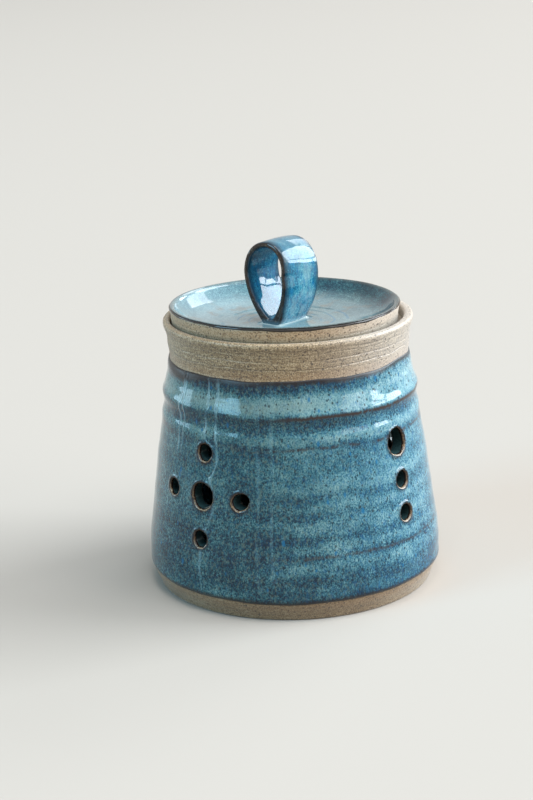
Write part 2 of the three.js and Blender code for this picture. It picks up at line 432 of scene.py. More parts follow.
def found_vents():
    """Every vent of the frame: its facing, its offset across that facing, its height and its radius."""
    vents = []
    for opening in frame["record"]["physics"]["openings"]:
        words = opening["name"].split("_")
        if words[0] != "vent" or words[-1] == "wide":
            continue
        low, high = (np.array(corner) / MM for corner in opening["box_m"])
        middle = (low + high) / 2
        facing = math.radians(GROUP_FACING[words[1]])
        vents.append({
            "facing": facing,
            "quarter": round(math.degrees(facing) / 90) % 4,
            "across": middle[1] * math.cos(facing) - middle[0] * math.sin(facing),
            "height": middle[2],
            "radius": LARGE_VENT if (high - low)[2] / 2 > LARGE_BOX else SMALL_VENT,
        })
    return vents


VENTS = found_vents()


def vent_points(vent, across, height, depth):
    """Points from offsets across a vent's facing, heights, and depths out along that facing."""
    facing = vent["facing"]
    x = depth * math.cos(facing) - across * math.sin(facing)
    y = depth * math.sin(facing) + across * math.cos(facing)
    return np.stack([x, y, np.broadcast_to(height, x.shape)], -1)


def seen_from(vent, points):
    """The offsets across a vent's facing, the heights, and the depths out along that facing, of points."""
    facing = vent["facing"]
    x, y, z = np.moveaxis(points, -1, 0)
    return y * math.cos(facing) - x * math.sin(facing), z, x * math.cos(facing) + y * math.sin(facing)


def vent_depth(vent, across, height, face):
    """How far out along a vent's facing a turned face lies."""
    angle = vent["facing"]
    for _ in range(3):
        depth = np.sqrt(face(angle, height) ** 2 - across**2)
        angle = vent["facing"] + np.arctan2(across, depth)
    return depth


def vent_block(vent, heights, radius, reach, rows=None):
    """The rows and columns of cells that a vent takes out of a turned face."""
    columns = [
        round((vent["facing"] + math.asin((vent["across"] + side) / radius)) * COLUMNS / (2 * math.pi))
        for side in (-reach, reach)
    ]
    if rows:
        first = int(np.argmin(abs(heights - vent["height"]))) - rows // 2
        return first, first + rows, *columns
    ends = sorted(int(np.argmin(abs(heights - (vent["height"] + side)))) for side in (-reach, reach))
    return *ends, *columns


def block_loop(numbers, block):
    """The points round a block of cells, in the order of a cell's own corners."""
    j0, j1, i0, i1 = block
    columns = np.arange(i0, i1 + 1) % COLUMNS
    return np.concatenate([
        numbers[j0, columns],
        numbers[j0 + 1 : j1 + 1, columns[-1]],
        numbers[j1, columns[::-1][1:]],
        numbers[j0 + 1 : j1, columns[0]][::-1],
    ])


def tunnel_place(number, share, depth):
    """The texture place of a point in a vent's tunnel, in a row of 16 above the quarters."""
    u = 0.01 + (number + 0.9 * share) / 16.5
    return np.stack([u, np.broadcast_to(0.885 + 0.05 * depth, u.shape)], -1)


def lip_rings(radius, lip, count):
    """Sizes and sinks of the rings over a vent's lip, which is a quarter round."""
    bends = np.linspace(0, math.pi / 2, count + 1)[1:]
    return [(radius + lip * (1 - math.sin(bend)), lip * (1 - math.cos(bend))) for bend in bends]


class VentEdge:
    """Rings of points that lead from a block's edge in a turned face to a vent."""

    def __init__(self, surface, numbers, block, vent, face, along_of, uneven=0.0):
        self.surface = surface
        self.vent = vent
        self.face = face
        self.along_of = along_of
        self.last = block_loop(numbers, block)
        self.across, self.height, _ = seen_from(vent, surface.points[self.last])
        self.turn = np.arctan2(self.height - vent["height"], self.across - vent["across"])
        # A shift that differs from vent to vent
        phase = vent["across"] * 0.9 + vent["height"] * 0.37 + vent["facing"]
        wobble = waves(self.turn, (0.03, 2, phase), (0.02, 3, 2 * phase), (0.012, 7, phase))
        self.stretch = 1 + uneven * wobble
        self.places = self.face_places(self.across, self.height, self.depth(self.across, self.height))

    def circle(self, size):
        """Offsets across and heights of a circle round the vent, as far out of round as the vent is."""
        size = size * self.stretch
        return self.vent["across"] + size * np.cos(self.turn), self.vent["height"] + size * np.sin(self.turn)

    def depth(self, across, height):
        return vent_depth(self.vent, across, height, self.face)

    def face_places(self, across, height, depth):
        """The texture places of points on the turned face."""
        share = np.degrees(np.arctan2(across, depth)) / 90 + 0.5
        return quarter_place(self.vent["quarter"], share, self.along_of(height))

    def add(self, across, height, depth, places, away=0.0):
        """Adds one ring, joined to the last."""
        points = vent_points(self.vent, across, height, depth)
        ring = self.surface.add(points, vent=away, top=FAR, low=FAR, upper=np.sin(self.turn))
        self.surface.ring(self.last, ring, self.places, places)
        self.last, self.places = ring, places

    def close_in(self, radius, lip, shares, raised=0.0):
        """Rings over the face to the foot of the lip: shares tell how far from it each still is."""
        a0, h0 = self.circle(radius + lip)
        for share in shares:
            across, height = a0 + (self.across - a0) * share, h0 + (self.height - h0) * share
            away = np.hypot(across - self.vent["across"], height - self.vent["height"]) - radius
            depth = self.depth(across, height) + raised * bell(away - lip, 0.7)
            self.add(across, height, depth, self.face_places(across, height, depth), away)
        return self.depth(a0, h0) + raised


def between(start, end, shares):
    """Points (radius, height) from their height shares and radius shares of the way from start to end."""
    return [(start[0] + (end[0] - start[0]) * r, start[1] + (end[1] - start[1]) * h) for h, r in shares]


def wall_line():
    """The clay of the outer wall from just above the foot to the rim's rounding."""
    wall = between((NECK_RADIUS, FOOT_LINE), (BELLY_RADIUS, COLLAR_LINE), WALL_SHARES)
    collar = between((NECK_RADIUS, COLLAR_LINE), (RIM_RADIUS, JAR_HEIGHT), COLLAR_SHARES)
    return flowing([(FOOT_RADIUS, 0.8), (58.2, 6.2)] + wall + collar)


def cavity_line():
    """The clay of the inside from the bottom of the throat to the middle of the floor."""
    side = between((THROAT_RADIUS, FLOOR_HEIGHT), (CAVITY_RADIUS, LINING_TOP), CAVITY_SHARES)
    floor = [(radius, FLOOR_HEIGHT) for radius in (CAVITY_RADIUS * 0.87, CAVITY_RADIUS * 0.7, AXIS_GAP)]
    return flowing([(THROAT_RADIUS, LINING_TOP)] + side + floor)


WALL = wall_line()
CAVITY = cavity_line()
CAVITY_SIDE = CAVITY[CAVITY[:, 1] > FLOOR_HEIGHT + 1.5]


def wall_radius(height):
    return np.interp(height, WALL[:, 1], WALL[:, 0])


def cavity_radius(height):
    return np.interp(height, CAVITY_SIDE[::-1, 1], CAVITY_SIDE[::-1, 0])


def clay_face(angle, height):
    """The radius of the jar's outer clay, a little under the glaze where it is coated."""
    coated = (height > FOOT_LINE + 0.6) & (height < COLLAR_LINE - 1.2)
    return wall_radius(height) + hand_marks(angle, height) - np.where(coated, CLAY_SUNK, 0.0)


def coat_face(angle, height):
    return wall_radius(height) + hand_marks(angle, height) + COAT


def clay_inside(angle, height):
    return cavity_radius(height) + MARKS_INSIDE * hand_marks(angle, height)


def lining_face(angle, height):
    return clay_inside(angle, height) - COAT


def floor_line(height, step):
    """The cavity's clay below a height, from its side to its middle."""
    return np.vstack([CAVITY[CAVITY[:, 1] < height][::step], [[AXIS_GAP, FLOOR_HEIGHT]]])


def jar_clay(material):
    """The jar's clay: foot, wall, rim, seat and inside, with the drilled vents."""
    surface = Surface()
    ring_inside = FOOT_RADIUS - FOOT_RING
    foot = filled(rounded([
        (AXIS_GAP, FOOT_RECESS, 0),
        (ring_inside - FOOT_RECESS, FOOT_RECESS, 1.2),
        (ring_inside, 0, 0.9),
        (FOOT_RADIUS, 0, 1.0),
        (wall_radius(1.6), 1.6, 0),
    ]), 2.5)
    rim = filled(rounded([
        (wall_radius(JAR_HEIGHT - 2.0), JAR_HEIGHT - 2.0, 0),
        (RIM_RADIUS, JAR_HEIGHT, 1.35),
        (GALLERY_RADIUS, JAR_HEIGHT, 1.3),
        (GALLERY_RADIUS, LEDGE_HEIGHT, 0.7),
        (THROAT_RADIUS, LEDGE_HEIGHT, 0.8),
        (THROAT_RADIUS, LINING_TOP + 0.4, 0),
    ]), 1.2)
    wall_heights = np.arange(WALL_MARGIN, JAR_HEIGHT - WALL_MARGIN, CLAY_STEP)
    side_heights = np.arange(LINING_TOP - 1.0, FLOOR_HEIGHT + FLOOR_MARGIN, -CLAY_STEP)
    wall = np.stack([wall_radius(wall_heights), wall_heights], -1)
    side = np.stack([cavity_radius(side_heights), side_heights], -1)
    bottom = floor_line(FLOOR_HEIGHT + 1.6, 6)
    line = np.vstack([foot, wall, rim, side, bottom])
    along = shares_of(line)
    first_wall, _, first_side = np.cumsum([len(foot), len(wall), len(rim)])
    edge = np.clip(foot[:, :1] / FOOT_RADIUS * 4 - 3, 0, 1)
    near_gallery = np.clip(1 - abs(rim[:, :1] - GALLERY_RADIUS) / RIM_REACH, 0, 1)
    heavy = np.clip(np.cos(ANGLES - math.radians(RIM_HEAVY)), 0, 1)
    radius = np.vstack([
        foot[:, :1] + edge * hand_marks(ANGLES, WALL_MARGIN),
        clay_face(ANGLES, wall_heights[:, None]),
        rim[:, :1] + hand_marks(ANGLES, JAR_HEIGHT - 2.0) - RIM_EXTRA * near_gallery * heavy,
        clay_inside(ANGLES, side_heights[:, None]),
        np.repeat(bottom[:, :1], COLUMNS, 1),
    ])
    numbers = surface.add(turned_points(radius, line[:, 1:]))
    holes = []
    for vent in VENTS:
        reach = vent["radius"] + CLAY_REACH
        radius_there = wall_radius(vent["height"])
        j0, j1, i0, i1 = vent_block(vent, wall_heights, radius_there, reach)
        k0, k1, _, _ = vent_block(vent, side_heights, radius_there, reach, rows=j1 - j0)
        pair = [(j0 + first_wall, j1 + first_wall, i0, i1), (k0 + first_side, k1 + first_side, i0, i1)]
        bore_clay(surface, numbers, vent, pair, along)
        holes += pair
    add_turned(surface, numbers, along, holes)
    close_end(surface, numbers[0], along[0], FOOT_RECESS)
    close_end(surface, numbers[-1], along[-1], FLOOR_HEIGHT)
    return surface.build("stoneware_jar", material)


def bore_clay(surface, numbers, vent, blocks, along):
    """One vent's bore through the clay, a little wider than the glaze that lines it."""
    ends = []
    for block, face in zip(blocks, (clay_face, clay_inside)):
        level = (along[block[0]] + along[block[1]]) / 2
        end = VentEdge(surface, numbers, block, vent, face, lambda height, level=level: level)
        across, height = end.circle(vent["radius"] + BORE_COAT)
        depth = end.depth(across, height)
        end.add(across, height, depth, end.face_places(across, height, depth))
        ends.append(end)
    front, back = ends
    apart = abs((back.turn[::-1] - front.turn[0] + math.pi) % (2 * math.pi) - math.pi)
    flat = np.full((len(front.last), 2), BORE_PLACE)
    surface.ring(front.last, np.roll(back.last[::-1], -int(np.argmin(apart))), flat, flat)


def coat_ends():
    """The heights of the wavy lower and upper edges of the outer glaze."""
    low = FOOT_LINE + waves(ANGLES, (0.22, 3, 1.2), (0.13, 8, 0.0), (0.07, 19, 2.0))
    top = COLLAR_LINE + waves(ANGLES, (0.22, 2, 2.6), (0.16, 7, 0.5), (0.09, 17, 0.0))
    from_drawn = np.angle(np.exp(1j * (ANGLES - math.radians(DRAWN_UP))))
    return low, top + bell(from_drawn, 0.2)


def wall_glaze(material):
    """The outer glaze, with rolled edges, a raised lip round each vent and a lining down its bore."""
    surface = Surface("vent", "top", "low", "upper")
    length = COLLAR_LINE - FOOT_LINE
    start, end = LOWER_ROWS[-1], length - UPPER_ROWS[0]
    middle = np.linspace(start, end, int((end - start) / GLAZE_STEP) + 1)[1:-1]
    rows = np.concatenate([LOWER_ROWS, middle, length - np.array(UPPER_ROWS)])
    low, top = coat_ends()
    height = low + (top - low) * (rows / length)[:, None]
    above, below = height - low, top - height
    radius = coat_face(ANGLES, height)
    radius -= (COAT + EDGE_TUCK) * np.maximum(rise_of_edge(above, LOW_ROLL), rise_of_edge(below, TOP_ROLL))
    for distance, (swell, place, width) in ((above, LOW_SWELL), (below, TOP_SWELL)):
        radius += swell * bell(distance - place, width)
    points = turned_points(radius, height)
    away = np.full(height.shape, CLEAR)
    for vent in VENTS:
        across, _, out = seen_from(vent, points)
        distance = np.hypot(across - vent["across"], height - vent["height"]) - vent["radius"]
        away = np.where(out > 0, np.minimum(away, distance), away)
    numbers = surface.add(points, vent=away, top=below, low=above, upper=0.0)
    level = height.mean(1)
    along = (level - level[0]) / (level[-1] - level[0])
    holes = []
    for number, vent in enumerate(VENTS):
        block = vent_block(vent, level, wall_radius(vent["height"]), vent["radius"] + WALL_REACH)
        holes.append(block)
        edge = VentEdge(surface, numbers, block, vent, coat_face, lambda z: np.interp(z, level, along), 1.0)
        line_bore(edge, number)
    add_turned(surface, numbers, along, holes)
    return surface.thickened(SHELL_BACK).build("wall_glaze", material)


def line_bore(edge, number):
    """The wall glaze over a vent's rounded lip and down its bore to the glaze of the inside."""
    vent, radius = edge.vent, edge.vent["radius"]
    crest = edge.close_in(radius, VENT_LIP, (0.74, 0.53, 0.37, 0.25, 0.15, 0.07, 0.0), LIP_RISE)
    for size, sink in lip_rings(radius, VENT_LIP, 6):
        across, height = edge.circle(size)
        depth = crest - sink
        edge.add(across, height, depth, edge.face_places(across, height, depth), size - radius - 0.02)
    mouth = crest - VENT_LIP
    end = vent_depth(vent, *edge.circle(radius), lining_face) + TUNNEL_STOP
    turns = (edge.turn - edge.turn[0]) / (2 * math.pi) % 1
    edge.places = tunnel_place(number, turns, 0.0)
    steps = [(share, 0.0) for share in np.linspace(0, 1, 8)[1:]]
    for share, spread in steps + [(1.0 + 0.35 / 6, 0.18), (1.0 + 0.5 / 6, 0.3)]:
        depth = mouth + (end - mouth) * share
        inward = -share * abs(mouth - end).mean()
        edge.add(*edge.circle(radius + spread), depth, tunnel_place(number, turns, share), inward)


def lining_glaze(material):
    """The glaze of the inside, from below the seat over the wall and floor, with a lip at each vent."""
    surface = Surface("vent", "top", "low")
    drops = np.array([-0.25, -0.15, 0.05, 0.35, 0.75, 1.2])
    even = np.arange(LINING_TOP - 2.1, FLOOR_HEIGHT + FLOOR_MARGIN, -LINING_STEP)
    heights = np.concatenate([LINING_TOP - drops, even])
    roll = rise_of_edge(LINING_EDGE - heights, LINING_ROLL)[:, None]
    wave = waves(ANGLES, (0.25, 3, 0.0), (0.12, 11, 1.0)) * np.exp((heights - LINING_TOP) / 6.0)[:, None]
    radius = lining_face(ANGLES, heights[:, None]) + (COAT + EDGE_TUCK) * roll
    bottom = moved_sideways(floor_line(FLOOR_HEIGHT + 1.8, 4), COAT)
    points = np.concatenate([
        turned_points(radius, heights[:, None] + wave),
        turned_points(bottom[:, :1], bottom[:, 1:]),
    ])
    along = shares_of(np.concatenate([np.stack([radius[:, 0], heights], -1), bottom]))
    numbers = surface.add(points, vent=CLEAR, top=LINING_EDGE - points[..., 2], low=FAR)
    side_along = along[: len(heights)][::-1]
    holes = []
    for vent in VENTS:
        block = vent_block(vent, heights, CAVITY_RADIUS - 2.0, vent["radius"] + LINING_REACH)
        holes.append(block)
        edge = VentEdge(
            surface, numbers, block, vent, lining_face, lambda z: np.interp(z, heights[::-1], side_along),
        )
        turn_in_lining(edge)
    add_turned(surface, numbers, along, holes)
    close_end(surface, numbers[-1], along[-1], FLOOR_HEIGHT + COAT)
    return surface.thickened(SHELL_BACK).build("lining_glaze", material)


def turn_in_lining(edge):
    """The inner glaze over a vent's lip, where it meets the wall glaze that lines the bore."""
    radius = edge.vent["radius"] - 0.02
    base = edge.close_in(radius, LINING_LIP, (0.6, 0.3, 0.12, 0.0))
    for size, sink in lip_rings(radius, LINING_LIP, 5) + [(radius + 0.12, 1.0), (radius + 0.3, 1.4)]:
        across, height = edge.circle(size)
        edge.add(across, height, base + sink, edge.face_places(across, height, base), size - radius)


def dish_line():
    """The lid's upper clay from its crest to the middle of the dish, above the flange's plane."""
    dish = between((0.0, DISH_CLAY), (CREST_RADIUS, CREST), DISH_SHARES)
    return flowing(dish + [(AXIS_GAP, DISH_CLAY)], 0.3)


def lid_points(line):
    """A turned face of the lid, in place, with its side out of round and its crest higher on one side."""
    radius, height = line[:, :1], line[:, 1:]
    marks = 0.07 * np.cos(2 * ANGLES + 1.9) + 0.05 * np.sin(height * 2.3 + ANGLES)
    points = turned_points(radius + np.where(radius > 30, marks, 0.0), height + LID_REST)
    crest = np.clip((radius / CREST_RADIUS - CREST_START) / (1 - CREST_START), 0, 1)
    crest = crest * np.clip(height / CREST_FOOT - 1, 0, 1)
    points[..., 2] += CREST_LEAN * crest * np.clip(np.cos(ANGLES - math.radians(CREST_HIGH)) + 0.3, 0, 1.3)
    points[..., :2] += LID_CENTRE
    return points


def lid_clay(material):
    """The lid's clay: plug, flange, side and dish."""
    surface = Surface()
    under = filled(rounded([
        (AXIS_GAP, -PLUG_DEPTH, 0),
        (PLUG_RADIUS * 0.8, -PLUG_DEPTH, 2.5),
        (PLUG_RADIUS * 0.97, -PLUG_DEPTH * 0.72, 2.0),
        (PLUG_RADIUS, 0, 0.4),
        (FLANGE_RADIUS, 0, 0.5),
        (FLANGE_RADIUS, 3.2, 1.2),
        (LID_RADIUS, CREST - 0.9, 0.4),
        (CREST_RADIUS + 0.4, CREST - 0.1, 0.3),
        (CREST_RADIUS - 0.4, CREST - 0.3, 0),
    ]), 1.4)
    dish = dish_line()
    dish = np.vstack([dish[dish[:, 0] < CREST_RADIUS - 0.8][::5], [[AXIS_GAP, DISH_CLAY]]])
    line = np.vstack([under, dish - [0, CLAY_SUNK]])
    along = shares_of(line)
    numbers = surface.add(lid_points(line))
    add_turned(surface, numbers, along)
    close_end(surface, numbers[0], along[0], LID_REST - PLUG_DEPTH)
    close_end(surface, numbers[-1], along[-1], LOOP_FLOOR - CLAY_SUNK)
    return surface.build("stoneware_lid", material)


def foot_distance(points):
    """How far a place on the dish is from the loop's foot."""
    x = abs(points[..., 0] - LID_CENTRE[0]) - (LOOP_FOOT + 0.2)
    y = abs(points[..., 1] - LID_CENTRE[1]) - (LOOP_WIDTH - 0.5)
    return np.hypot(np.maximum(x, 0), np.maximum(y, 0)) + np.minimum(np.maximum(x, y), 0)


def dish_glaze(material):
    """The lid's glaze, over its crest and across the dish, drawn up a little at the loop's foot."""
    surface = Surface("edge", "foot")
    crest = rounded([
        (LID_RADIUS - 0.05, CREST - 1.1, 0),
        (LID_RADIUS, CREST - 0.6, 0.5),
        (CREST_RADIUS + 0.3, CREST, 0.6),
        (CREST_RADIUS - 0.6, CREST - 0.5, 0),
    ])
    dish = dish_line()
    line = filled(np.vstack([crest, dish[dish[:, 0] < CREST_RADIUS - 0.9][::2]]), 0.35)
    run = run_of(line)
    thickness = COAT * (1 - rise_of_edge(run, 1.3)) - 0.25 * (1 - np.clip(run / 0.3, 0, 1))
    line = moved_sideways(line, thickness)
    line[-1, 0] = AXIS_GAP
    points = lid_points(line)
    foot = foot_distance(points)
    drawn = waves(ANGLES, (0.28, 3, 0.4), (0.16, 10, 0.0), (0.1, 23, 1.0)) * np.exp(-run / 0.7)[:, None]
    ripples = RIPPLE * np.sin(line[:, :1] * 1.35 + ANGLES) * np.clip((line[:, :1] - 12) / 8, 0, 1)
    points[..., 2] += drawn + FOOT_RISE * np.exp(-np.maximum(foot, 0)) + ripples
    along = run / run[-1]
    numbers = surface.add(points, edge=run[:, None], foot=foot)
    add_turned(surface, numbers, along)
    close_end(surface, numbers[-1], along[-1], LOOP_FLOOR + COAT)
    return surface.thickened(SHELL_BACK).build("dish_glaze", material)


def half_loop(foot_span, foot_height, span, top, start, steps):
    """Half the outline of the loop, from its foot on the -X side up to its top."""
    middle = (foot_height + LOOP_WIDEST) / 2
    t = np.linspace(start, 1, steps)[:-1]
    x = foot_span * (1 - t) ** 2 + span * (1 - (1 - t) ** 2)
    z = foot_height * (1 - t) ** 2 + 2 * middle * t * (1 - t) + LOOP_WIDEST * t**2
    turn = np.linspace(0, math.pi / 2, steps)
    round_top = np.stack([-span * np.cos(turn), LOOP_WIDEST + (top - LOOP_WIDEST) * np.sin(turn)], -1)
    return np.vstack([np.stack([-x, z], -1), round_top])


def loop_outlines():
    """The closed outer and inner outlines of the loop with matching points, from the foot's left side."""
    steps = 44
    halves = [
        half_loop(LOOP_FOOT, 0.0, LOOP_SPAN, LOOP_HEIGHT, 0.0, steps),
        half_loop(0.0, LOOP_CROTCH, LOOP_SPAN - STRAP, LOOP_HEIGHT - STRAP, 0.07, steps),
    ]
    outer, inner = (np.vstack([half, half[::-1][1:] * [-1.0, 1.0]]) for half in halves)
    below = rounded([
        (LOOP_FOOT, -0.1, 0), (LOOP_FOOT, -0.9, 0.3), (-LOOP_FOOT, -0.9, 0.3), (-LOOP_FOOT, -0.1, 0),
    ], 4)
    tip = np.array([0.0, LOOP_CROTCH])
    t = np.linspace(0, 1, len(below) + 2)[1:-1, None]
    bend = inner[-1] * (1 - t) ** 2 + tip * 2 * t * (1 - t) + inner[0] * t**2
    return np.vstack([outer, below]), np.vstack([inner, bend])


def strap_section(thickness):
    """Offsets along Y and depths round a strap's section, and how far each point is from a mid edge."""
    width = LOOP_WIDTH - STRAP_ROUNDING
    face = [(y, 0.0) for y in np.linspace(-width, width, 20)]
    corner = [
        (width + STRAP_ROUNDING * math.sin(turn), STRAP_ROUNDING * (1 - math.cos(turn)))
        for turn in np.linspace(0, math.pi / 2, 7)[1:-1]
    ]
    side = [(LOOP_WIDTH, depth) for depth in (STRAP_ROUNDING, thickness / 2, thickness - STRAP_ROUNDING)]
    half = np.array(face + corner + side + [(y, thickness - depth) for y, depth in corner[::-1]])
    section = np.vstack([half, [0.0, thickness] - half])
    section[:, 1] += STRAP_CROWN * (section[:, 0] / LOOP_WIDTH) ** 2 * np.sign(thickness / 2 - section[:, 1])
    steps = np.linalg.norm(section - np.roll(section, 1, axis=0), axis=1)
    run, total = np.cumsum(steps), steps.sum()
    middle = len(face) + len(corner) + 1
    away = [abs((run - run[mid] + total / 2) % total - total / 2) for mid in (middle, middle + len(half))]
    return section[:, 0], section[:, 1], np.min(away, axis=0)


def bent_strap(points):
    """The strap as the hand left it: leaning, pinched on one side and higher at the top."""
    x, y, z = np.moveaxis(points - [*LID_CENTRE, LOOP_FLOOR], -1, 0)
    x = x + 0.12 * np.sin(points[..., 1] * 0.5) * np.sin(points[..., 2] * 0.3)
    near = np.clip(0.5 - y / (2 * LOOP_WIDTH), 0, 1)
    left = np.clip(0.5 - x / (2 * LOOP_SPAN), 0, 1)
    rise = np.clip(z / LOOP_WIDEST, 0, 1)
    waist = np.clip((LOOP_HEIGHT - z) / (LOOP_HEIGHT - LOOP_WIDEST), 0, 1) ** 0.6
    x = x - near * rise * (LOOP_LEAN * left + LOOP_PINCH * (1 - left) * waist)
    y = y - LOOP_SPREAD * near * left * rise
    z = z + LOOP_LIFT * np.clip(rise * 2 - 1, 0, 1)
    return np.stack([x, y, z], -1) + [*LID_CENTRE, LOOP_FLOOR]


def strap_loop(material):
    """The loop handle: a pulled strap with rounded edges, bent round and pressed on the dish."""
    surface = Surface("edge", "outside", "rise")
    rows, edges, outsides = [], [], []
    for start, end in zip(*loop_outlines()):
        thickness = np.linalg.norm(end - start)
        y, depth, away = strap_section(thickness)
        x, z = (start + (end - start) / thickness * depth[:, None]).T
        wide = 1 + 0.012 * math.sin(start[1] * 0.21 + 1.0)
        rows.append(np.stack([x + LID_CENTRE[0], y * wide + LID_CENTRE[1], z + LOOP_FLOOR], -1))
        edges.append(away)
        outsides.append(1 - depth / thickness)
    points = bent_strap(np.array(rows))
    rise = points[..., 2] - LOOP_FLOOR
    numbers = surface.add(points, edge=np.array(edges), outside=np.array(outsides), rise=rise)
    count, around = numbers.shape
    j, i = np.indices(numbers.shape)
    second = j >= count / 2
    corners, places = [], []
    for down, over in ((0, 0), (1, 0), (1, 1), (0, 1)):
        corners.append(np.roll(numbers, (-down, -over), (0, 1)))
        v = (j + down - count / 2 * second) / (count / 2 + 1)
        places.append(np.stack([0.01 + 0.5 * second + 0.48 * (i + over) / around, 0.01 + 0.97 * v], -1))
    surface.quads(corners, places)
    return surface.build("strap_loop", material)


class Value:
    """A number made by a material's nodes, reckoned with like any other number."""

    def __init__(self, paint, socket):
        self.paint = paint
        self.socket = socket

    def __add__(self, other):
        return self.paint.math("ADD", self, other)

    __radd__ = __add__

    def __sub__(self, other):
        return self.paint.math("SUBTRACT", self, other)

    def __rsub__(self, other):
        return self.paint.math("SUBTRACT", other, self)

    def __mul__(self, other):
        return self.paint.math("MULTIPLY", self, other)

    __rmul__ = __mul__

    def __abs__(self):
        return self.paint.math("ABSOLUTE", self)

    def swing(self, reach):
        """A value from 0 to 1 as one from minus to plus a reach."""
        return self.paint.math("MULTIPLY_ADD", self, 2 * reach, -reach)

    def fade(self, start, end):
        """0 before start and 1 after end, smooth between; start may be above end."""
        node = self.paint.node("MapRange", self)
        node.interpolation_type = "SMOOTHSTEP"
        ends = (start, end, 0.0, 1.0) if start < end else (end, start, 1.0, 0.0)
        for number, socket in zip(ends, node.inputs[1:5]):
            socket.default_value = number
        return Value(self.paint, node.outputs[0])

    def line(self, middle, width):
        """1 at the middle and 0 beyond a width from it."""
        return abs(self - middle).fade(width, 0.0)


def most(first, *others):
    """The largest of several values."""
    for other in others:
        first = first.paint.math("MAXIMUM", first, other)
    return first


class Paint:
    """A material's nodes, made with short calls. Any value may be a number, a Value or a node's output."""

    def __init__(self, name):
        self.material = bpy.data.materials.new(name)
        self.material.use_nodes = True
        self.tree = self.material.node_tree
        self.tree.nodes.clear()
        self.output = self.tree.nodes.new("ShaderNodeOutputMaterial")
        self.place = None
        self.color = None
        self.normal = None

    def join(self, value, socket):
        value = value.socket if isinstance(value, Value) else value
        if isinstance(value, bpy.types.NodeSocket):
            self.tree.links.new(value, socket)
        else:
            socket.default_value = value

    def node(self, kind, *values):
        """A node of a kind, with its first inputs joined to values."""
        node = self.tree.nodes.new("ShaderNode" + kind)
        for value, socket in zip(values, node.inputs):
            self.join(value, socket)
        return node

    def math(self, operation, *values):
        node = self.node("Math", *values)
        node.operation = operation
        return Value(self, node.outputs[0])

    def mix(self, share, a, b):
        node = self.tree.nodes.new("ShaderNodeMix")
        node.data_type = "RGBA"
        for value, number in ((share, 0), (a, 6), (b, 7)):
            self.join(value, node.inputs[number])
        return node.outputs[2]

    def coat(self, share, color):
        """Lays a share of a colour over the material's own."""
        self.color = self.mix(share, self.color, color)

    def ramp(self, value, stops):
        node = self.node("ValToRGB", value)
        elements = node.color_ramp.elements
        while len(elements) < len(stops):
            elements.new(0.5)
        for element, (place, color) in zip(elements, stops):
            element.position = place
            element.color = color
        return node.outputs[0]

    def curve(self, value, points, span):
        """A value read from a curve through given points over a span of places."""
        node = self.tree.nodes.new("ShaderNodeFloatCurve")
        line = node.mapping.curves[0]
        while len(line.points) < len(points):
            line.points.new(0.5, 0.5)
        reach = span[1] - span[0]
        for point, (place, height) in zip(line.points, points):
            point.location = ((place - span[0]) / reach, height)
        node.mapping.update()
        self.join(self.math("MULTIPLY_ADD", value, 1 / reach, -span[0] / reach), node.inputs["Value"])
        return Value(self, node.outputs[0])

    def stretched(self, x=1.0, y=1.0, z=1.0, move=0.0):
        """Places on the piece, stretched and moved."""
        if (x, y, z, move) == (1.0, 1.0, 1.0, 0.0):
            return self.where
        return self.node("Mapping", self.where, (move,) * 3, (0.0,) * 3, (x, y, z)).outputs[0]

    def noise(self, scale, detail=2.0, rough=0.5, at=None, **stretch):
        node = self.tree.nodes.new("ShaderNodeTexNoise")
        self.join(at or self.stretched(**stretch), node.inputs["Vector"])
        for name, number in (("Scale", scale), ("Detail", detail), ("Roughness", rough)):
            node.inputs[name].default_value = number
        return Value(self, node.outputs["Fac"])

    def spots(self, scale, size, soft, **stretch):
        """1 inside scattered spots: size is their reach as a share of their spacing."""
        node = self.tree.nodes.new("ShaderNodeTexVoronoi")
        self.join(self.stretched(**stretch), node.inputs["Vector"])
        node.inputs["Scale"].default_value = scale
        pick = self.node("SeparateColor", node.outputs["Color"])
        reach = Value(self, pick.outputs[0]) * size
        return (reach - Value(self, node.outputs["Distance"])).fade(0.0, soft)

    @property
    def where(self):
        """Places on the piece in millimetres."""
        if self.place is None:
            node = self.node("VectorMath", self.node("TexCoord").outputs["Object"])
            node.operation = "SCALE"
            node.inputs["Scale"].default_value = 1 / MM
            self.place = node.outputs[0]
        return self.place

    def ring_place(self, radius):
        """A place that depends only on a radius, for marks that run round an axis."""
        return self.node("CombineXYZ", radius).outputs[0]

    def parts(self):
        """The three coordinates of a place on the piece."""
        return [Value(self, part) for part in self.node("SeparateXYZ", self.where).outputs]

    def value_of(self, name):
        node = self.tree.nodes.new("ShaderNodeAttribute")
        node.attribute_name = name
        return Value(self, node.outputs["Fac"])

    def bump(self, height, depth):
        """Adds a bump whose height of 0 to 1 spans a depth in millimetres."""
        node = self.tree.nodes.new("ShaderNodeBump")
        node.inputs["Distance"].default_value = depth * MM
        node.inputs["Strength"].default_value = 1.0
        self.join(height, node.inputs["Height"])
        if self.normal is not None:
            self.join(self.normal, node.inputs["Normal"])
        self.normal = node.outputs[0]

    def finish(self, roughness, specular=0.5, sheen=0.0):
        shader = self.tree.nodes.new("ShaderNodeBsdfPrincipled")
        values = {
            "Base Color": self.color, "Roughness": roughness, "Normal": self.normal,
            "Specular IOR Level": specular, "Sheen Weight": sheen, "Sheen Roughness": 0.45,
        }
        for name, value in values.items():
            self.join(value, shader.inputs[name])
        self.tree.links.new(shader.outputs[0], self.output.inputs["Surface"])
        return self.material


def tone(red, green, blue):
    """A colour written as on a screen, from 0 to 255."""
    def plain(value):
        share = value / 255
        return share / 12.92 if share <= 0.04045 else ((share + 0.055) / 1.055) ** 2.4
    return (plain(red), plain(green), plain(blue), 1.0)


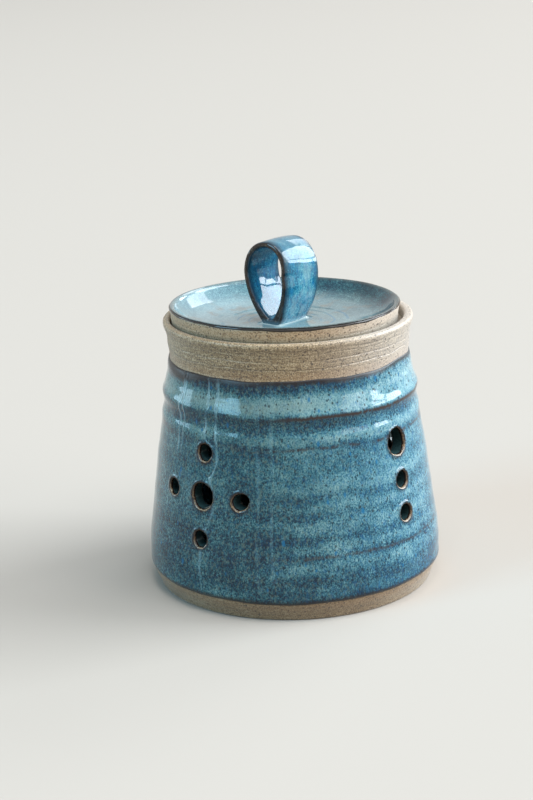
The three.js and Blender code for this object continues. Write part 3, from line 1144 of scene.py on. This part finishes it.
NAVY = tone(3, 33, 51)
DEEP = tone(8, 55, 72)
TEAL = tone(32, 88, 99)
GREY_TEAL = tone(69, 118, 124)
CELADON = tone(114, 154, 154)
PALE = tone(163, 192, 190)
BLUE = tone(12, 92, 142)
IRON = tone(36, 25, 21)
BROWN = tone(74, 54, 40)
RUST = tone(128, 106, 80)

# The glaze from thin to thick, and the bluer glaze of the right side and of the loop
GLAZE_STOPS = [(0.0, NAVY), (0.22, DEEP), (0.4, TEAL), (0.55, GREY_TEAL), (0.74, CELADON), (1.0, PALE)]
BLUER_STOPS = [
    (0.0, tone(12, 40, 70)), (0.3, tone(38, 88, 118)),
    (0.55, tone(84, 143, 170)), (1.0, tone(164, 198, 207)),
]
LOOP_STOPS = [
    (0.0, tone(14, 54, 84)), (0.25, tone(26, 92, 124)), (0.45, tone(50, 128, 154)),
    (0.62, tone(94, 162, 178)), (0.82, tone(150, 198, 202)), (1.0, tone(192, 218, 216)),
]
CLAY_STOPS = [
    (0.05, tone(80, 61, 40)), (0.32, tone(134, 108, 75)),
    (0.55, tone(165, 138, 101)), (0.85, tone(205, 183, 149)),
]

# Glaze thickness up the wall, by height in millimetres: low is thin and dark, high is thick and pale
BANDS = [
    (0, 0.28), (9, 0.32), (11, 0.43), (13.5, 0.45), (16.5, 0.34), (19, 0.44), (22, 0.58), (24.3, 0.5),
    (26, 0.33), (28, 0.48), (30, 0.6), (32.5, 0.37), (35, 0.5), (38.5, 0.63), (42, 0.38), (45, 0.56),
    (48.5, 0.43), (52.5, 0.6), (56, 0.5), (62, 0.49), (66.5, 0.5), (68.2, 0.37), (71.3, 0.66), (73.6, 0.58),
    (76.5, 0.36), (79.2, 0.36), (81.3, 0.64), (84.5, 0.71), (87.5, 0.65), (89.5, 0.37), (92, 0.2), (96, 0.06),
]
# How strongly the bands show, by the angle round the jar in degrees from -Y towards +X
BAND_STRENGTH = [
    (-180, 0.6), (-120, 0.8), (-60, 0.45), (-15, 0.26), (22, 0.28), (34, 0.55), (46, 1.0), (75, 1.0),
    (100, 0.85), (140, 0.55), (180, 0.6),
]
# How much thicker or thinner the glaze lies round the jar, and painted shade on its darker sides, about 0.5,
# by the same angle
SIDE_SHADE = [
    (-180, 0.5), (-130, 0.54), (-80, 0.47), (-26, 0.47), (-10, 0.41), (4, 0.46), (19, 0.37), (34, 0.43),
    (48, 0.46), (60, 0.45), (76, 0.46), (90, 0.48), (130, 0.49), (180, 0.5),
]
# Paths of glaze runs: how strong, then (height, angle in degrees) up the wall
RUNS = [
    (0.9, [(58, -17.6), (66, -17.9), (72, -17.3), (80, -18.4), (85, -17.2), (94, -17.8)]),
    (0.9, [(58, -14.8), (66, -15.2), (72, -14.6), (85, -15.6), (94, -14.9)]),
    (1.0, [(66, 3.6), (68.5, 1.6), (71, -0.9), (75.4, -0.3), (84, 0.3), (94, 0.0)]),
    (0.85, [
        (8, 1.6), (22, 0.2), (36, 3.0), (44, 5.6), (50, 5.4), (54, 3.6),
        (57, 5.0), (63, 6.6), (67, 6.2), (72, 5.2), (84, 5.6), (94, 5.3),
    ]),
    (0.3, [(10, 25.6), (30, 24.8), (52, 25.6), (70, 25.1), (94, 25.4)]),
    (0.3, [(10, 31.4), (34, 30.7), (56, 31.2), (76, 30.8), (94, 31.0)]),
    (0.7, [(30, -122.0), (60, -121.0), (74, -123.0), (94, -122.0)]),
    (0.6, [(20, 141.0), (45, 142.0), (70, 140.5), (94, 141.5)]),
    (0.6, [(44, -84.0), (70, -85.0), (94, -84.4)]),
]
RUN_SPAN = 20.0
HEIGHTS = (0.0, 100.0)
ROUND = (-180.0, 180.0)

# Heights of the seams where the wall's glaze breaks: a strong one, and two weak ones
SEAM = 79.9
WEAK_SEAMS = [(67.9, 1.0, 0.7), (26.0, 1.1, 0.6)]
# Heights where the jar's glaze ends, and the collar's grooves as heights and half widths
GLAZE_ENDS = (COLLAR_LINE + 1.5, FOOT_LINE - 1.0)
COLLAR_MARKS = [(106.2, 0.9), (104.6, 0.5), (101.8, 0.6), (98.6, 0.45)]
# Rings that the thrower's finger left in the dish: radius and half width
DISH_ARCS = [(14.5, 0.9), (19.5, 0.8), (25.0, 1.1)]


def angle_round(paint, x, y):
    """The angle round the jar's axis in degrees, from -Y towards +X."""
    return paint.math("ARCTAN2", x, y * -1.0) * (180 / math.pi)


def glaze_grain(paint, fine=1.0, coarse=1.0):
    """The break-up of a glaze in several sizes, spread about 0."""
    parts = [
        (paint.noise(2.1, 2.0, 0.6, z=0.7), 1.4 * fine),
        (paint.noise(0.95, 2.0, 0.55, z=0.6, move=7.0), 0.46 * fine),
        (paint.noise(0.3, z=0.6, move=19.0), 0.24 * coarse),
        (paint.noise(0.07, z=0.8, move=31.0), 0.3 * coarse),
        (paint.noise(0.85, 2.0, 0.55, z=0.08, move=3.0), 0.22 * coarse),
    ]
    return sum((part - 0.5) * weight for part, weight in parts)


def run_mask(paint, angle, z):
    """1 along the glaze runs of the wall, from faint to strong."""
    wander = paint.noise(0.35, 1.0).swing(0.5)
    width = paint.noise(0.22, 1.0, z=0.3, move=8.0) * 1.5 - 0.05
    masks = []
    for strength, path in RUNS:
        middle = sum(degrees for _, degrees in path) / len(path)
        shares = [(height, (degrees - middle) / RUN_SPAN + 0.5) for height, degrees in path]
        line = paint.curve(z, shares, HEIGHTS) * RUN_SPAN + (middle - RUN_SPAN / 2)
        away = abs(angle - line + wander)
        start = path[0][0]
        masks.append((away - width).fade(0.25, -0.45) * strength * z.fade(start - 1.0, start + 10.0))
    gaps = paint.noise(0.2, z=0.35, move=33.0).fade(0.36, 0.52)
    return most(*masks) * (gaps * 0.75 + 0.25)


def wall_thickness(paint, angle, z, level, feather, grain, runs):
    """How thick the wall's glaze lies: bands of height, sides, grain and runs, with painted shade on the
    sides and on the low parts.
    """
    left = angle.fade(60.0, 12.0) * angle.fade(-175.0, -125.0)
    front = angle.fade(175.0, 130.0)
    band = paint.curve(level + feather, BANDS, HEIGHTS)
    patchy = paint.noise(0.06, z=0.5, move=41.0).fade(0.3, 0.62)
    strength = paint.curve(angle, BAND_STRENGTH, ROUND) * (patchy * 0.6 + 0.5)
    value = (band - 0.5) * most(strength, z.fade(66.5, 69.5)) + 0.5
    lift = z.fade(86.0, 89.5) * angle.fade(55.0, 105.0) * 0.4 + angle.fade(40.0, 100.0) * 0.06
    value = value + lift * front + (paint.curve(angle, SIDE_SHADE, ROUND) - 0.5)
    coarser = z.fade(54.0, 38.0) * z.fade(9.0, 17.0) * 0.26 + 1.0
    value = value + grain * (1.28 - band) * (left * 0.24 + 1.1) * coarser + runs * 0.2
    right = angle.fade(34.0, 76.0) * front
    # Painted shade: the lower belly darker, most on the left, and the base darker on the right
    low_shade = z.fade(46.0, 28.0) * z.fade(11.0, 18.0) * (left * 0.1 + right * 0.01)
    smears = paint.noise(0.06, z=3.0, move=61.0)
    return value - low_shade - z.fade(24.0, 11.0) * right * 0.13 + (smears - 0.5) * 0.45


def wall_spots(paint, angle, level, bluer):
    """Grains of blue and olive, a warm cast on the pale band, and blue and dark spots."""
    hue = paint.noise(1.1, 2.0, 0.6, z=0.4, move=51.0)
    paint.coat(hue.fade(0.5, 0.72) * (bluer * 0.35 + 0.22), BLUE)
    olive = paint.noise(0.9, 3.0, 0.65, z=0.8, move=77.0).fade(0.5, 0.64)
    paint.coat(olive * (1.0 - bluer * 0.8) * 0.46, tone(112, 131, 117))
    warm = level.line(84.5, 4.0) * angle.fade(66.0, 44.0) * angle.fade(-175.0, -125.0)
    paint.coat(warm * 0.3, tone(152, 166, 154))
    paint.coat(paint.spots(0.26, 0.24, 0.1, z=0.55, move=9.0) * 0.75, tone(4, 104, 148))
    paint.coat(paint.spots(0.8, 0.42, 0.12, z=0.8, move=21.0) * 0.75, tone(18, 34, 42))


def wall_seams(paint, angle, level, feather):
    """Brown seams where the glaze breaks on the throwing ridges, strongest on the right."""
    noise = paint.noise(0.3, 3.0, 0.65, z=0.4, move=5.0)
    seams = (level + feather * 0.4).line(SEAM, 1.4) * noise.fade(0.26, 0.44)
    for height, width, strength in WEAK_SEAMS:
        seams = most(seams, level.line(height, width) * noise.fade(0.4, 0.56) * strength)
    front = most(angle.fade(20.0, 45.0) * angle.fade(175.0, 130.0), 0.15)
    paint.coat(seams * front, tone(56, 42, 38))


def wall_ends(paint, angle):
    """Iron-dark edges at the collar and foot lines; returns how dark."""
    top, low = paint.value_of("top"), paint.value_of("low")
    ragged = paint.noise(0.9, 3.0, 0.6, z=0.5).swing(1.3)
    drawn = top + angle.line(-22.0, 24.0) * -2.2
    dark = most((drawn + ragged).fade(2.9, 0.7), (low + ragged).fade(2.8, 0.5) * 0.95)
    paint.coat(dark * 0.88, IRON)
    return dark


def vent_edges(paint):
    """Glaze that thins to iron and bare clay over a vent's lip, and its dark inside; the lip is darker above
    and paler below as painted shade and painted highlight.
    """
    vent = paint.value_of("vent")
    off = vent + paint.noise(0.75, 2.0, 0.6).swing(0.5)
    feathered = vent + paint.noise(1.3, 2.0, 0.6).swing(1.1)
    paint.coat(feathered.fade(2.4, 0.7) * 0.6, NAVY)
    paint.coat(feathered.fade(1.3, 0.6) * 0.9, IRON)
    # Painted shade and painted highlight: the bare lip is darker brown above and pale below
    upper = paint.value_of("upper") + paint.noise(1.1).swing(0.9)
    bare = paint.mix(upper.fade(0.7, -0.7), BROWN, RUST)
    bare = paint.mix(upper.fade(-0.5, -1.3) * 0.45, bare, tone(188, 178, 158))
    bare = paint.mix(paint.noise(0.9, move=15.0).fade(0.54, 0.64) * 0.75, bare, IRON)
    paint.coat(off.fade(0.62, 0.4), bare)
    paint.coat(off.fade(0.2, 0.05), IRON)
    paint.coat(off.fade(-0.1, -0.6), paint.mix(paint.noise(1.4, 3.0), tone(16, 36, 42), tone(62, 92, 94)))


def wall_material():
    paint = Paint("wall_glaze")
    x, y, z = paint.parts()
    angle = angle_round(paint, x, y)
    grain = glaze_grain(paint)
    grain = paint.math("MINIMUM", grain * 1.25, grain * 0.82)
    level = z + paint.noise(0.05, 3.0, z=0.35, move=13.0).swing(1.9)
    feather = paint.noise(1.2, z=0.15, move=23.0).swing(1.3)
    runs = run_mask(paint, angle, z)
    bluer = angle.fade(10.0, 100.0) * angle.fade(175.0, 130.0)
    value = wall_thickness(paint, angle, z, level, feather, grain, runs)
    paint.color = paint.ramp(value, GLAZE_STOPS)
    paint.coat(bluer * 0.5, paint.ramp(value, BLUER_STOPS))
    wall_spots(paint, angle, level, bluer)
    wall_seams(paint, angle, level, feather)
    paint.coat(runs * 0.34, tone(136, 178, 194))
    dark = wall_ends(paint, angle)
    vent_edges(paint)
    paint.bump(paint.noise(0.11, 1.0, z=0.8), 0.22)
    paint.bump(grain, 0.004)
    paint.bump(runs, 0.2)
    return paint.finish(paint.noise(0.5) * 0.05 + 0.03 + dark * 0.3, specular=0.38)


def lining_material():
    paint = Paint("lining_glaze")
    grain = glaze_grain(paint)
    paint.color = paint.ramp(grain + 0.33, GLAZE_STOPS)
    top = paint.value_of("top") + paint.noise(0.7, 3.0, 0.6).swing(0.9)
    paint.coat(top.fade(2.2, 0.4) * 0.85, IRON)
    paint.coat(paint.value_of("vent").fade(0.9, 0.3) * 0.8, BROWN)
    paint.bump(paint.noise(0.13), 0.35)
    paint.bump(grain, 0.04)
    return paint.finish(0.12)


def dish_material():
    paint = Paint("dish_glaze")
    x, y, _ = paint.parts()
    dx, dy = x - float(LID_CENTRE[0]), y - float(LID_CENTRE[1])
    grain = glaze_grain(paint)
    edge, foot = paint.value_of("edge"), paint.value_of("foot")
    pool = edge.fade(5.0, 17.0)
    cloud = paint.noise(0.09, 3.0, 0.55, move=71.0)
    # Painted shade: the glaze darkens towards +X and +Y, the dish's right side
    value = grain * 0.8 + pool * 0.22 + 0.43 + (cloud - 0.5) * 0.5 - dx * 0.0018 - dy * 0.0022
    paint.color = paint.ramp(value, GLAZE_STOPS)
    paint.coat(pool * 0.5, tone(136, 149, 154))
    # Painted light: the dish's left side, towards -X and -Y, paler blue-white
    paint.coat((dx * 0.77 + dy * 0.64).fade(4.0, -42.0) * 0.36, tone(166, 188, 200))
    radius = paint.math("SQRT", dx * dx + dy * dy)
    ring = radius + paint.noise(0.07, move=17.0).swing(1.6)
    smudge = paint.noise(0.13, 3.0, 0.6, move=83.0).fade(0.5, 0.68)
    paint.coat(smudge * pool * 0.5, tone(132, 122, 110))
    arcs = most(*(ring.line(middle, width) for middle, width in DISH_ARCS))
    paint.coat(arcs * paint.noise(0.07, move=2.0).fade(0.48, 0.6) * 0.6, tone(54, 116, 146))
    thrown = paint.noise(0.9, 2.0, 0.6, at=paint.ring_place(ring))
    paint.coat(thrown.fade(0.52, 0.72) * 0.22, tone(112, 134, 138))
    off = edge + paint.noise(0.9, 3.0, 0.6).swing(0.55)
    paint.coat(off.fade(3.6, 1.6) * 0.5, tone(96, 90, 80))
    paint.coat(off.fade(1.7, 0.9) * 0.94, tone(40, 30, 27))
    paint.coat(foot.line(0.7, 1.3) * 0.5, tone(190, 208, 208))
    paint.coat(foot.line(2.1, 0.5) * 0.4, tone(70, 140, 168))
    paint.bump(paint.noise(0.12, 1.0), 0.22)
    paint.bump(thrown, 0.014)
    paint.bump(grain, 0.003)
    return paint.finish(0.05)


def loop_material():
    paint = Paint("loop_glaze")
    grain = glaze_grain(paint, 0.82, 1.9)
    edge, outside, rise = (paint.value_of(name) for name in ("edge", "outside", "rise"))
    paint.color = paint.ramp(grain * 0.85 + outside * 0.09 + 0.34, LOOP_STOPS)
    hue = paint.noise(0.8, 2.0, 0.6, z=0.35, move=51.0)
    paint.coat(hue.fade(0.52, 0.7) * 0.6, tone(16, 104, 154))
    pale = paint.noise(0.3, 3.0, 0.6, z=0.45, move=91.0).fade(0.42, 0.62)
    paint.coat(pale * outside * 0.38, tone(138, 170, 174))
    blots = paint.noise(0.45, 3.0, 0.65, z=0.3, move=37.0).fade(0.56, 0.7)
    paint.coat(blots * 0.5, tone(20, 62, 92))
    crown = rise.fade(LOOP_HEIGHT * 0.72, LOOP_HEIGHT * 0.97) * outside
    paint.coat(crown * 0.68, tone(78, 108, 122))
    worn = edge + paint.noise(0.8, 3.0, 0.6, z=0.5).swing(0.6)
    off = worn - rise.fade(8.0, 1.0) * 1.3
    paint.coat(off.fade(4.0, 1.0) * 0.85, tone(26, 44, 58))
    paint.coat(off.fade(1.25, 0.75), IRON)
    middle = paint.noise(1.1, 3.0, 0.6, move=57.0).fade(0.46, 0.62) * worn.fade(0.5, 0.1)
    paint.coat(middle * 0.6, tone(112, 96, 78))
    paint.coat(rise.fade(3.5, 0.8) * 0.35, tone(120, 168, 188))
    paint.bump(paint.noise(0.14, 1.0), 0.16)
    paint.bump(grain, 0.003)
    return paint.finish(0.045)


def clay_material(name, flashes, pale=0.0, marks=(), under=0.0):
    """Bare iron-speckled stoneware, warm beside glaze at the flashes' heights, with grooves at the marks.
    It is paler grey on the right, partly its own flashing and partly painted sheen; pale lightens it as
    painted light, and under greys the low part of the lid's side as painted shade.
    """
    paint = Paint(name)
    x, y, z = paint.parts()
    sand = paint.noise(1.9, 2.0, 0.65)
    threads = paint.noise(1.5, 3.0, 0.65, x=0.02, y=0.02)
    grooves = paint.noise(0.5, x=0.02, y=0.02, move=27.0)
    parts = [
        (sand, 2.4), (paint.noise(0.6, 3.0, 0.55, z=1.6, move=11.0), 0.45),
        (paint.noise(0.06, z=0.8, move=3.0), 0.4), (threads, 0.28), (grooves, 0.3),
    ]
    value = sum((part - 0.5) * weight for part, weight in parts)
    # pale lightens the clay as painted light, which the lid takes against the shade under its crest
    paint.color = paint.ramp(value + (0.5 + pale), CLAY_STOPS)
    for height in flashes:
        paint.coat(z.line(height, 3.2) * 0.26, tone(166, 120, 80))
    angle = angle_round(paint, x, y)
    # Paler grey clay on the right, more higher up: partly the clay's own grey flashing, partly painted sheen
    # of the light from the right
    flash_and_sheen = angle.fade(36.0, 96.0) * angle.fade(180.0, 140.0)
    paint.coat(flash_and_sheen * (z.fade(8.0, 90.0) * 0.36 + 0.04), tone(198, 197, 194))
    paint.coat(z.fade(12.0, 6.0) * 0.42, tone(92, 76, 54))
    # Painted shade: the low part of the lid's side greyer and darker under its crest, by the share under
    paint.coat(z.fade(LID_REST + 6.0, LID_REST + 3.0) * under, tone(92, 92, 82))
    cuts = [
        (z + paint.noise(0.05, 1.0, z=0.1, move=height).swing(1.6)).line(height, width)
        for height, width in marks
    ]
    if cuts:
        paint.coat(most(*cuts) * 0.12, tone(92, 78, 60))
    paint.coat(paint.spots(1.05, 0.5, 0.12) * 0.75, tone(66, 48, 34))
    paint.coat(paint.spots(0.4, 0.22, 0.06, move=40.0) * 0.85, tone(44, 34, 28))
    paint.bump(grooves, 0.3)
    paint.bump(threads, 0.09)
    if cuts:
        paint.bump(1.0 - most(*cuts), 0.12)
    paint.bump(sand, 0.1)
    return paint.finish(sand * 0.2 + 0.36, specular=0.85, sheen=0.3)


def build_object():
    """All six pieces, each riding on its body in place of its CAD node."""
    jar_stuff = clay_material("jar_stoneware", GLAZE_ENDS, marks=COLLAR_MARKS)
    # The lid's clay: pale is painted light, and under is painted shade on the low part of its side
    lid_stuff = clay_material("lid_stoneware", [dish_high[2] - 2.5], pale=0.22, under=0.55)
    pieces = [
        (jar_clay(jar_stuff), "jar", "jar_body", "stoneware"),
        (wall_glaze(wall_material()), "jar", "jar_outer_glaze", "wall_glaze"),
        (lining_glaze(lining_material()), "jar", "jar_inner_glaze", "inner_glaze"),
        (lid_clay(lid_stuff), "lid", "lid_body", "stoneware"),
        (dish_glaze(dish_material()), "lid", "lid_glaze", "dish_glaze"),
        (strap_loop(loop_material()), "lid", "loop_handle", "handle_glaze"),
    ]
    for piece, body, node, slot in pieces:
        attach(piece, body)
        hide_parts(node)


def turned_to_frame(vector):
    """A vector from the axes the camera was solved in to the frame's."""
    return Matrix.Rotation(CAMERA_TURN, 3, "Z") @ Vector(vector)


def placed(axes, place):
    """The matrix of something with three axes at a place."""
    return Matrix.Translation(place) @ Matrix(axes).transposed().to_4x4()


def set_camera():
    data = bpy.data.cameras.new("camera")
    camera = bpy.data.objects.new("camera", data)
    bpy.context.scene.collection.objects.link(camera)
    flat = Vector((math.sin(CAMERA_YAW), math.cos(CAMERA_YAW), 0))
    forward = flat * math.cos(CAMERA_PITCH) - Vector((0, 0, math.sin(CAMERA_PITCH)))
    right = Vector((math.cos(CAMERA_YAW), -math.sin(CAMERA_YAW), 0))
    up = right.cross(forward)
    cosine, sine = math.cos(CAMERA_ROLL), math.sin(CAMERA_ROLL)
    right, up = right * cosine + up * sine, up * cosine - right * sine
    axes = [turned_to_frame(axis) for axis in (right, up, -forward)]
    camera.matrix_world = placed(axes, turned_to_frame((0, -CAMERA_BACK, CAMERA_RISE)) * MM)
    data.lens = CAMERA_LENS
    data.sensor_fit = "VERTICAL"
    data.sensor_width = SENSOR
    data.sensor_height = SENSOR
    data.clip_start = 0.01
    bpy.context.scene.camera = camera


FLOOR_SEEN = tone(188, 180, 171)
FLOOR_BOUNCE = tone(136, 124, 110)
BACKDROP = tone(226, 223, 217)
WORLD_TONE = (1.0, 0.965, 0.92, 1.0)
WORLD_FILL = 0.24
FLOOR_HALF = 40.0


def is_seen(tree):
    """1 for what the camera sees straight, in a reflection or through glass, and 0 for light."""
    path = tree.nodes.new("ShaderNodeLightPath")
    seen = path.outputs["Is Camera Ray"]
    for name in ("Is Glossy Ray", "Is Transmission Ray"):
        either = tree.nodes.new("ShaderNodeMath")
        either.operation = "MAXIMUM"
        tree.links.new(seen, either.inputs[0])
        tree.links.new(path.outputs[name], either.inputs[1])
        seen = either.outputs[0]
    return seen


def build_floor():
    paint = Paint("floor")
    shader = paint.node("BsdfDiffuse", paint.mix(is_seen(paint.tree), FLOOR_BOUNCE, FLOOR_SEEN))
    paint.join(shader.outputs[0], paint.output.inputs["Surface"])
    mesh = bpy.data.meshes.new("floor")
    corners = [(x * FLOOR_HALF, y * FLOOR_HALF, 0) for x, y in ((-1, -1), (1, -1), (1, 1), (-1, 1))]
    mesh.from_pydata(corners, [], [(0, 1, 2, 3)])
    floor = new_piece("floor", mesh, paint.material)


# Soft light panels round the jar: degrees to the right of the camera's side, degrees up, degrees wide,
# degrees tall, radiance, colour
PANELS = [
    (-59.5, 25.0, 23.0, 31.0, 4.4, (0.45, 0.98, 1.35)),
    (-113.0, 4.5, 26.0, 9.0, 3.0, (0.6, 0.95, 1.2)),
    (86.0, 9.5, 17.0, 8.0, 10.0, (0.9, 1.0, 1.08)),
    (106.5, 9.5, 20.0, 8.0, 10.0, (0.9, 1.0, 1.08)),
    (97.0, 30.0, 39.0, 29.0, 8.5, (0.9, 1.0, 1.08)),
    (138.0, 11.0, 16.0, 10.0, 7.0, (0.9, 1.0, 1.08)),
    (142.0, 34.0, 32.0, 17.0, 3.0, (0.96, 1.0, 1.08)),
    (59.0, 22.0, 26.0, 30.0, 2.4, (0.97, 1.0, 1.02)),
    (40.0, 58.0, 40.0, 26.0, 2.8, (0.95, 1.0, 1.05)),
    (-10.0, 76.0, 19.0, 19.0, 6.0, (1.0, 0.98, 0.95)),
]
PANEL_DISTANCE = 12.0
# Watts for a square metre of a panel at a radiance of 1
PANEL_GAIN = 4.0


def build_lights():
    middle = Vector((0, 0, JAR_HEIGHT * MM / 2))
    for number, (turn, rise, width, tall, radiance, color) in enumerate(PANELS):
        data = bpy.data.lights.new(f"panel_{number}", "AREA")
        data.shape = "RECTANGLE"
        data.size = 2 * PANEL_DISTANCE * math.tan(math.radians(width / 2))
        data.size_y = 2 * PANEL_DISTANCE * math.tan(math.radians(tall / 2))
        data.color = color
        data.energy = radiance * PANEL_GAIN * data.size * data.size_y
        turn, rise = math.radians(turn), math.radians(rise)
        away = (math.sin(turn) * math.cos(rise), -math.cos(turn) * math.cos(rise), math.sin(rise))
        towards = turned_to_frame(away)
        side = Vector((0, 0, 1)).cross(towards).normalized()
        lamp = bpy.data.objects.new(f"panel_{number}", data)
        lamp.matrix_world = placed((side, towards.cross(side), towards), middle + towards * PANEL_DISTANCE)
        lamp.visible_camera = False
        bpy.context.scene.collection.objects.link(lamp)


def build_world():
    world = bpy.data.worlds.new("room")
    bpy.context.scene.world = world
    world.use_nodes = True
    tree = world.node_tree
    tree.nodes.clear()
    mix = tree.nodes.new("ShaderNodeMixShader")
    tree.links.new(is_seen(tree), mix.inputs[0])
    for number, (color, strength) in enumerate([(WORLD_TONE, WORLD_FILL), (BACKDROP, 1.0)]):
        background = tree.nodes.new("ShaderNodeBackground")
        background.inputs["Color"].default_value = color
        background.inputs["Strength"].default_value = strength
        tree.links.new(background.outputs[0], mix.inputs[number + 1])
    output = tree.nodes.new("ShaderNodeOutputWorld")
    tree.links.new(mix.outputs[0], output.inputs["Surface"])


def main():
    build_object()
    build_floor()
    build_lights()
    build_world()
    set_camera()
    bpy.context.scene.view_settings.view_transform = "Standard"


main()
